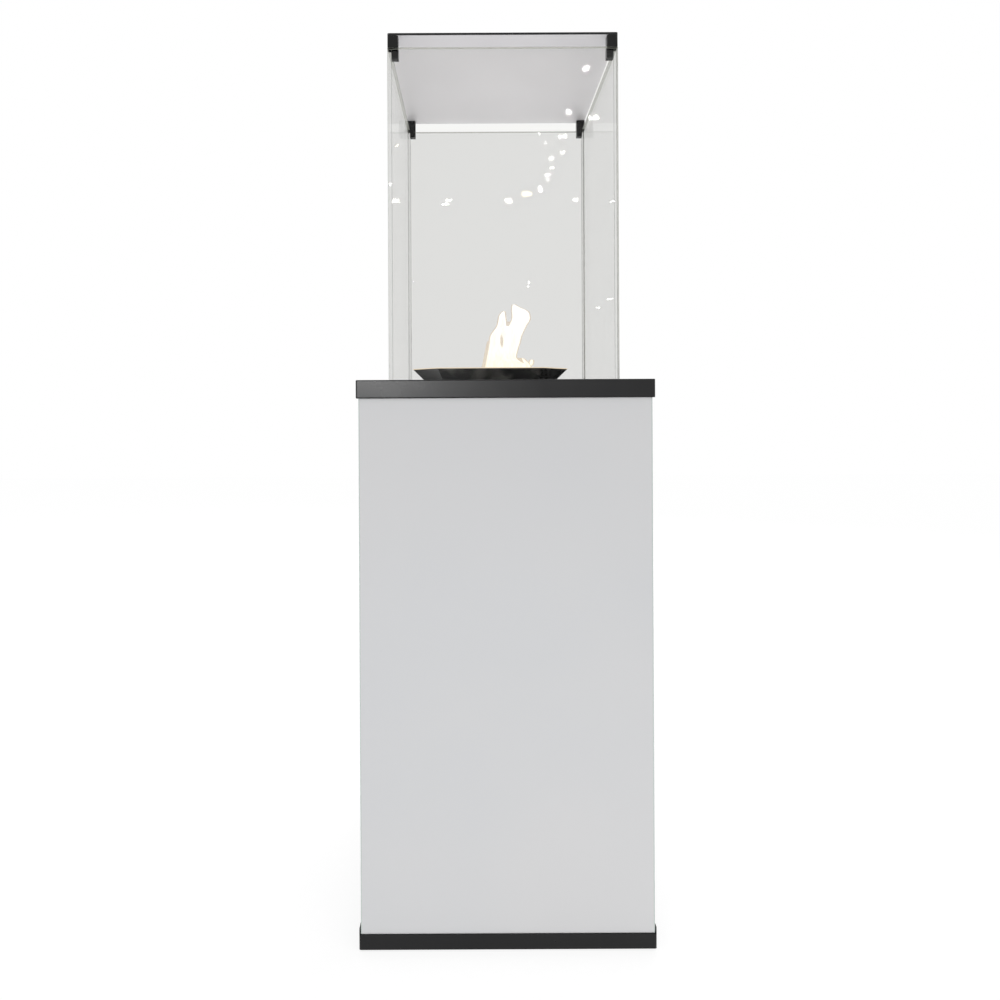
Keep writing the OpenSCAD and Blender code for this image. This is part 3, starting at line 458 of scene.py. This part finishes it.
def plate_from(bm, outline, y0, y1):
    """Flat outline of (x, z) points, given thickness from y0 to y1."""
    near = [bm.verts.new((x, y1, z)) for x, z in outline]
    far = [bm.verts.new((x, y0, z)) for x, z in outline]
    n = len(outline)
    bm.faces.new(near)
    bm.faces.new(list(reversed(far)))
    for i in range(n):
        bm.faces.new((near[i], far[i], far[(i + 1) % n], near[(i + 1) % n]))


def polar(centre, r, angle):
    """Point at a clock angle in degrees, counted as the knob turns: from the top towards +X."""
    a = math.radians(angle)
    return centre[0] + r * math.sin(a), centre[1] + r * math.cos(a)


def star(centre, r, points=6, waist=0.36):
    """Outline of a star whose notches reach in to a share of its size."""
    return [polar(centre, r if k % 2 == 0 else r * waist, 180 * k / points) for k in range(2 * points)]


# ---------------------------------------------------------------- new pieces

def lava_bed():
    """Broken lava stones in the places and sizes of the CAD stones."""
    facets, shallow = 9, 0.05
    bm = bmesh.new()
    for k, pts in enumerate(islands("lava_stones")):
        lo = Vector([min(p[i] for p in pts) for i in range(3)])
        hi = Vector([max(p[i] for p in pts) for i in range(3)])
        mid, half = (lo + hi) / 2, (hi - lo) / 2
        made = bmesh.ops.create_icosphere(bm, subdivisions=4, radius=1.0)["verts"]
        rng = random.Random(k * 17 + 3)
        cuts = []
        for _ in range(facets):
            way = Vector([rng.uniform(-1, 1) for _ in range(3)]).normalized()
            cuts.append((way, rng.uniform(0.62, 0.86)))
        off = Vector((k * 3.7, k * 1.9, k * 0.7))
        for v in made:
            d = v.co.normalized()
            r = 1.0
            for way, depth in cuts:
                c = d.dot(way)
                if c > shallow:
                    r = min(r, depth / c)
            r *= 1 + 0.05 * noise.noise(d * 2.2 + off) + 0.035 * noise.noise(d * 6.0 + off)
            r = min(r, 1.0)
            v.co = mid + Vector((d.x * half.x * r, d.y * half.y * r, d.z * half.z * r))
        low = min(v.co.z for v in made)
        for v in made:
            v.co.z -= (low - lo.z) * (1 if v.co.z < mid.z else 0.4)
    obj = add_mesh("lava_bed", bm, MATS["lava"], "column")
    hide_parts("lava_stones")


def glass_seams():
    """Hollow-faced silicone beads in the cage's four inner corners, from the gasket up to the connectors."""
    foot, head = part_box("glass_gasket")[1].z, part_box("corner_connectors")[0].z
    front_bead, rear_bead, hollow = 0.0005, 0.0007, 0.92
    steps, arc = 60, 6
    bm = bmesh.new()
    for sx in (-1, 1):
        for sy in (-1, 1):
            corner = Vector((sx * PANE_IN, sy * PANE_IN, 0))
            loops = []
            for k in range(steps + 1):
                z = foot + (head - foot) * k / steps
                r = (front_bead if sy < 0 else rear_bead) * (1 + 0.12 * noise.noise(Vector((sx * 3, sy * 5, z * 40))))
                ring = [corner + Vector((0, 0, z))]
                for i in range(arc + 1):
                    a = math.pi / 2 * i / arc
                    ring.append(corner + Vector((-sx * r * (1 - math.sin(a) * hollow),
                                                 -sy * r * (1 - math.cos(a) * hollow), z)))
                loops.append([bm.verts.new(c) for c in ring])
            bridge(bm, zip(loops, loops[1:]))
            bm.faces.new(loops[0])
            bm.faces.new(loops[-1])
    turn_outward(bm)
    add_mesh("glass_seams", bm, sealant(), "column")


def control_marks():
    """Printed marks on the pocket's wall: off dot, spark and flame wedge round the knob, a spark by the igniter."""
    off_at, spark_at, large_at, small_at = 0, 45, 95, 205  # clock angles round the knob
    steps, thick = 24, 0.0016
    lo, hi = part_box("control_knob")
    centre = ((lo.x + hi.x) / 2, (lo.z + hi.z) / 2)
    reach = (hi.x - lo.x) / 2 + 0.0045
    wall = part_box("valve_bonnet")[1].y + 0.0015  # the pocket's sheet lies on the bonnet
    lift = wall + 0.00015
    bm = bmesh.new()
    plate_from(bm, [polar(polar(centre, reach, off_at), 0.0013, a) for a in range(0, 360, 15)], wall, lift)
    plate_from(bm, star(polar(centre, reach, spark_at), 0.0021), wall, lift)
    turns = [large_at + (small_at - large_at) * k / steps for k in range(steps + 1)]
    outer = [polar(centre, reach + thick * (1 - k / (steps + 2)), a) for k, a in enumerate(turns)]
    inner = [polar(centre, reach - thick * (1 - k / (steps + 2)), a) for k, a in enumerate(turns)]
    plate_from(bm, outer + inner[::-1], wall, lift)
    lo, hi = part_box("igniter_barrel")
    plate_from(bm, star(((lo.x + hi.x) / 2, hi.z + 0.006), 0.003), wall, lift)
    turn_outward(bm)
    add_mesh("control_marks", bm, MATS["pale_paint"], "column", smooth=False)


def knob_pointer():
    """White lines on the knob's rim and its grip, at their top when the gas is off."""
    half_width, sunk, proud = 0.0009, 0.0003, 0.0002
    lo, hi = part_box("control_knob")
    centre = ((lo.x + hi.x) / 2, (lo.z + hi.z) / 2)
    r, skirt = (hi.x - lo.x) / 2, lo.y + (hi.y - lo.y) / 3
    bm = bmesh.new()
    for near, far, y in ((r * 0.83, r * 0.95, skirt), (r * 0.34, r * 0.66, hi.y)):
        corners = ((-half_width, near), (half_width, near), (half_width, far), (-half_width, far))
        plate_from(bm, [(centre[0] + x, centre[1] + z) for x, z in corners], y - sunk, y + proud)
    turn_outward(bm)
    add_mesh("knob_pointer", bm, MATS["pale_paint"], "knob", smooth=False)


def girth_weld():
    """Rippled weld round the middle of the cylinder."""
    turns, across, half_width, sunk = 360, 7, 0.0032, 0.0006
    lo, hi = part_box("gas_cylinder")
    r = (hi.y - lo.y) / 2
    z = lo.z + (hi.z - lo.z) * 0.46
    bm = bmesh.new()
    loops = []
    for k in range(turns):
        a = 2 * math.pi * k / turns
        swell = 0.0011 + 0.0003 * math.sin(k * math.pi / 2)
        wander = 0.0002 * math.sin(k * 0.7)
        ring = []
        for i in range(across):
            t = -1 + 2 * i / (across - 1)
            h = r - sunk + (swell + sunk) * (1 - t * t)
            ring.append(bm.verts.new((h * math.cos(a), h * math.sin(a), z + half_width * t + wander)))
        loops.append(ring)
    bridge(bm, zip(loops, loops[1:] + loops[:1]))
    turn_outward(bm)
    add_mesh("girth_weld", bm, MATS["cylinder_paint"], "column")


# ---------------------------------------------------------------- flame

# Tongues of the flame, each as rings (z, left edge, right edge) in metres, in the plane of the burner's axis
TONGUES = {
    "root": [(0.940, -0.030, 0.052), (0.950, -0.031, 0.056), (0.960, -0.029, 0.053), (0.968, -0.027, 0.040),
             (0.976, -0.0255, 0.031), (0.991, -0.0225, 0.0335), (1.005, -0.020, 0.038), (1.018, -0.018, 0.0415),
             (1.028, -0.012, 0.046), (1.036, -0.005, 0.050)],
    "left": [(1.020, -0.017, 0.008), (1.030, -0.010, 0.012), (1.038, -0.005, 0.0125), (1.048, -0.0025, 0.0115),
             (1.057, -0.001, 0.0105), (1.063, 0.003, 0.0098), (1.0665, 0.0068, 0.0092)],
    "middle": [(1.020, 0.008, 0.042), (1.032, 0.0135, 0.047), (1.040, 0.0185, 0.052), (1.049, 0.0235, 0.0575),
               (1.057, 0.0245, 0.0575), (1.064, 0.0240, 0.055), (1.069, 0.0238, 0.048), (1.0735, 0.0240, 0.038),
               (1.079, 0.0250, 0.0295)],
}
# Thin outer veils beside the tongues, in the same way: along the left foot, in the notch, a lick and its drop
VEILS = {
    "flank": [(0.944, -0.036, -0.020), (0.952, -0.0355, -0.018), (0.962, -0.0325, -0.018), (0.974, -0.0300, -0.018),
              (0.986, -0.0275, -0.016), (0.998, -0.0250, -0.014), (1.008, -0.0225, -0.012)],
    "notch": [(1.024, 0.006, 0.020), (1.032, 0.010, 0.0205), (1.040, 0.0125, 0.0205), (1.046, 0.0135, 0.0195)],
    "foot": [(0.946, 0.040, 0.062), (0.952, 0.038, 0.058), (0.958, 0.034, 0.048), (0.966, 0.033, 0.044),
             (0.976, 0.032, 0.040)],
    "lick": [(0.955, 0.0555, 0.0600), (0.959, 0.0525, 0.0590), (0.964, 0.0480, 0.0560), (0.968, 0.0450, 0.0520),
             (0.972, 0.0430, 0.0480), (0.975, 0.0420, 0.0440)],
    "drop": [(0.961, 0.0590, 0.0625), (0.965, 0.0575, 0.0640), (0.969, 0.0580, 0.0645), (0.972, 0.0600, 0.0630)],
}
FLAME_FOOT = 0.94
FLAME_PALES = (0.945, 1.085)  # heights between which its colour goes from low to high
FLAME_DEPTH = 0.62  # depth of a tongue as a share of its width
HOLE = ((0, 0.0036, 0.0046), (2, 1.0085, 0.017))  # the dark gap between the tongues: axis, middle, reach


def smooth_rings(rings, steps=4):
    """Catmull-Rom points between the given rings."""
    out = []
    n = len(rings)
    for i in range(n - 1):
        p0, p1, p2, p3 = rings[max(i - 1, 0)], rings[i], rings[i + 1], rings[min(i + 2, n - 1)]
        for s in range(steps):
            t = s / steps
            out.append(tuple(0.5 * (2 * b + (c - a) * t + (2 * a - 5 * b + 4 * c - d) * t * t
                                    + (3 * b - a - 3 * c + d) * t ** 3)
                             for a, b, c, d in zip(p0, p1, p2, p3)))
    out.append(rings[-1])
    return out


def loft(bm, rings, grow, sway, sides=28):
    """Stack of ellipses between left and right edges, each grown and swayed in depth, closed at both ends."""
    deepest, thinnest = 0.024 + grow, 0.0012
    loops = []
    for z, x0, x1 in rings:
        c, r = (x0 + x1) / 2, (x1 - x0) / 2 + grow
        d = max(min(r * FLAME_DEPTH, deepest), thinnest)
        y = sway * math.sin((z - FLAME_FOOT) * 34)
        loops.append([bm.verts.new((c + r * math.cos(a), y + d * math.sin(a), z))
                      for a in (2 * math.pi * i / sides for i in range(sides))])
    bridge(bm, zip(loops, loops[1:]))
    bm.faces.new(list(reversed(loops[0])))
    bm.faces.new(loops[-1])


def flame_material(name, low, mid, high, strength, alpha, gap=False):
    """Glow that pales upwards in uneven streaks, and lets through what is behind it where it thins."""
    m = new_look(name)
    place = m.place()
    wisps = m.noise(110.0, 4.0, 0.6, m.scaled(1, 1, 0.22))
    height = m.math("ADD", m.span(place[2], *FLAME_PALES), m.spread(wisps, -0.22, 0.22))
    colour = m.ramp(height, (0.0, low), (0.3, mid), (1.0, high))
    density = m.spread(wisps, *alpha)
    if gap:
        near = [m.span(m.size(m.math("SUBTRACT", place[axis], middle)), 0.0, reach) for axis, middle, reach in HOLE]
        ring = m.math("ADD", *[m.product(n, n) for n in near])
        density = m.product(density, m.span(ring, 0.35, 1.0))
    shadow = m.node("ShaderNodeLightPath").outputs["Is Shadow Ray"]
    seen = m.product(density, m.math("SUBTRACT", 1.0, shadow))
    glow = m.node("ShaderNodeEmission", Color=colour, Strength=strength)
    return m.surface(m.blend(seen, m.node("ShaderNodeBsdfTransparent"), glow))


def flame():
    """A bright core, and round it a thin pale skin that takes in the veils; each is fused to one mesh."""
    core = flame_material("look_flame_core", srgb(250, 240, 214), srgb(255, 252, 242), srgb(255, 255, 251), 1.6,
                          (0.93, 1.0), gap=True)
    skin = flame_material("look_flame_skin", srgb(246, 228, 190), srgb(236, 214, 184), srgb(230, 210, 190), 1.0,
                          (0.2, 0.5))
    lick = {name: VEILS[name] for name in ("lick", "drop")}
    for name, material, tongues, grow in (("flame_core", core, {**TONGUES, **lick}, 0.0),
                                          ("flame_skin", skin, {**TONGUES, **VEILS}, 0.0024)):
        bm = bmesh.new()
        for k, rings in enumerate(tongues.values()):
            loft(bm, smooth_rings(rings), grow, sway=0.004 * ((k % 3) - 1))
        obj = add_mesh(name, bm, material, "column")
        remesh = obj.modifiers.new("fuse", "REMESH")
        remesh.mode = "VOXEL"
        remesh.voxel_size = 0.0009
        remesh.use_smooth_shade = True
        even = obj.modifiers.new("even", "SMOOTH")
        even.factor = 0.5
        even.iterations = 3


# ---------------------------------------------------------------- stage, light, camera

def build_stage():
    """Floor that the camera, mirror images and glass show nearly white, and that keeps the object's shadow."""
    bm = bmesh.new()
    bmesh.ops.create_grid(bm, x_segments=1, y_segments=1, size=8.0)
    mesh = bpy.data.meshes.new("floor")
    bm.to_mesh(mesh)
    bm.free()
    floor = bpy.data.objects.new("floor", mesh)
    scene.collection.objects.link(floor)
    m = new_look("look_floor")
    pale = m.node("ShaderNodeBsdfDiffuse", Color=(0.8, 0.8, 0.8, 1))
    mark = m.node("ShaderNodeBsdfDiffuse", Color=(0.25, 0.25, 0.25, 1))
    glow = m.node("ShaderNodeEmission", Color=(1, 1, 1, 1), Strength=0.84)
    lit = m.node("ShaderNodeAddShader", i0=mark.outputs[0], i1=glow.outputs[0])
    mesh.materials.append(m.surface(m.blend(m.shown(), pale, lit)))


def build_world():
    """Even light of 0.62, shown as white."""
    t = Tree(bpy.data.worlds.new("studio"), "ShaderNodeOutputWorld")
    strength = t.span(t.shown(), 0.0, 1.0, 0.62, 1.0)
    scene.world = t.surface(t.node("ShaderNodeBackground", Color=(1, 1, 1, 1), Strength=strength))


def area(name, place, target, size, power, colour=(1, 1, 1)):
    """Rectangular lamp that shines at a target."""
    data = bpy.data.lights.new(name, "AREA")
    data.shape = "RECTANGLE"
    data.size, data.size_y = size
    data.energy = power
    data.color = colour
    obj = bpy.data.objects.new(name, data)
    scene.collection.objects.link(obj)
    obj.location = place
    obj.rotation_euler = (Vector(target) - Vector(place)).to_track_quat("-Z", "Y").to_euler()
    obj.visible_camera = False
    obj.visible_transmission = False
    return obj


# Small ceiling lamps in front of the fire, whose mirror images stand in the front pane: across, up, width, height
WHITE_LAMPS = [
    (0.525, 2.600, 0.030, 0.028), (0.438, 2.379, 0.028, 0.026), (0.569, 2.350, 0.062, 0.016),
    (0.408, 2.256, 0.038, 0.016), (0.284, 2.271, 0.018, 0.010), (0.313, 2.224, 0.018, 0.010),
    (0.405, 2.175, 0.030, 0.013), (0.347, 2.146, 0.022, 0.016), (0.349, 2.093, 0.022, 0.012),
    (0.328, 2.060, 0.025, 0.011), (0.328, 2.034, 0.025, 0.008), (0.291, 1.987, 0.022, 0.026),
    (0.130, 1.928, 0.038, 0.020), (-0.178, 1.934, 0.038, 0.012), (-0.190, 1.914, 0.030, 0.009),
    (-0.444, 1.932, 0.036, 0.018), (-0.464, 2.014, 0.020, 0.012), (0.471, 1.932, 0.022, 0.012),
    (0.655, 1.926, 0.028, 0.012), (0.254, 1.551, 0.008, 0.008), (0.232, 1.512, 0.008, 0.008),
    (0.225, 1.492, 0.008, 0.008), (0.640, 1.426, 0.030, 0.008), (0.579, 1.384, 0.026, 0.008),
    (-0.357, 1.521, 0.010, 0.018)]
WARM_LAMPS = [(0.222, 1.963, 0.060, 0.026), (-0.439, 2.213, 0.018, 0.014)]
LAMPS_AT = -2.7  # their y

# Lamps for the whole scene, which no mirror image shows: name, place, target, size, power
STUDIO = (
    ("key", (-2.2, -3.0, 3.2), (0, 0, 0.8), (2.2, 2.2), 15.5),
    ("fill", (2.6, -2.6, 2.2), (0, 0, 0.8), (2.4, 2.4), 10),
    ("rear", (1.2, 3.2, 2.6), (0, 0, 0.9), (2.4, 2.0), 36),
    ("roof_fill", (0, 0, 1.02), (0, 0, 1.5), (0.3, 0.3), 1.85),
    ("tray_fill", (-0.12, -0.182, 0.936), (-0.11, 0, 0.940), (0.12, 0.012), 0.025),
)


def light_only(lamps, nodes):
    """Keeps the light of lamps to the given nodes."""
    receivers = bpy.data.collections.new("receivers")
    for name in nodes:
        receivers.objects.link(NODES[name])
    for lamp in lamps:
        lamp.light_linking.receiver_collection = receivers


def build_lights():
    """Studio lamps, a sheen on the top plate, a low lamp that spares the floor, the mirrored lamps and the fire."""
    for lamp in STUDIO:
        area(*lamp).visible_glossy = False
    sheen = area("sheen", (-1.0, -3.2, 1.36), (-0.1, -0.24, 0.9), (1.5, 0.8), 72)
    front = area("front", (-0.06, -2.0, 0.12), (0, 0, 0.12), (1.2, 0.2), 10.8)
    front.visible_glossy = False
    light_only([front], NODES)
    small = [area("lamp", (x, LAMPS_AT, z), (x, 0, z - 1.0), (wide, high), per_area * wide * high, colour)
             for lamps, per_area, colour in ((WHITE_LAMPS, 480, (1, 1, 1)), (WARM_LAMPS, 240, (1.0, 0.8, 0.5)))
             for x, z, wide, high in lamps]
    light_only(small, ["front_pane"])
    light_only([sheen], ["top_plate"])
    for lamp in [sheen] + small:
        lamp.visible_diffuse = False
    glow = bpy.data.lights.new("fire_glow", "POINT")
    glow.energy = 0.4
    glow.color = (1.0, 0.62, 0.28)
    glow.shadow_soft_size = 0.02
    obj = bpy.data.objects.new("fire_glow", glow)
    scene.collection.objects.link(obj)
    obj.location = (0.015, 0.0, 0.99)
    obj.visible_camera = False
    obj.visible_transmission = False
    obj.visible_glossy = False


def build_camera():
    """Camera in front, level, and shifted as the photograph's straight edges ask."""
    data = bpy.data.cameras.new("view")
    data.sensor_width = 36.0
    data.lens = 26.54
    data.shift_x = 0.026
    data.shift_y = -0.093
    data.clip_end = 100
    cam = bpy.data.objects.new("view", data)
    scene.collection.objects.link(cam)
    upright, roll = Matrix.Rotation(math.radians(90), 4, "X"), Matrix.Rotation(math.radians(-0.278), 4, "Z")
    cam.matrix_world = Matrix.Translation((-0.0510, -1.4335, 0.8806)) @ upright @ roll
    scene.camera = cam


build_camera()
build_materials()
dress_nodes()
for node, (width, segments) in ROUNDED.items():
    soften(node, width, segments)
lava_bed()
glass_seams()
control_marks()
knob_pointer()
girth_weld()
flame()
build_stage()
build_world()
build_lights()
scene.view_settings.view_transform = "Standard"
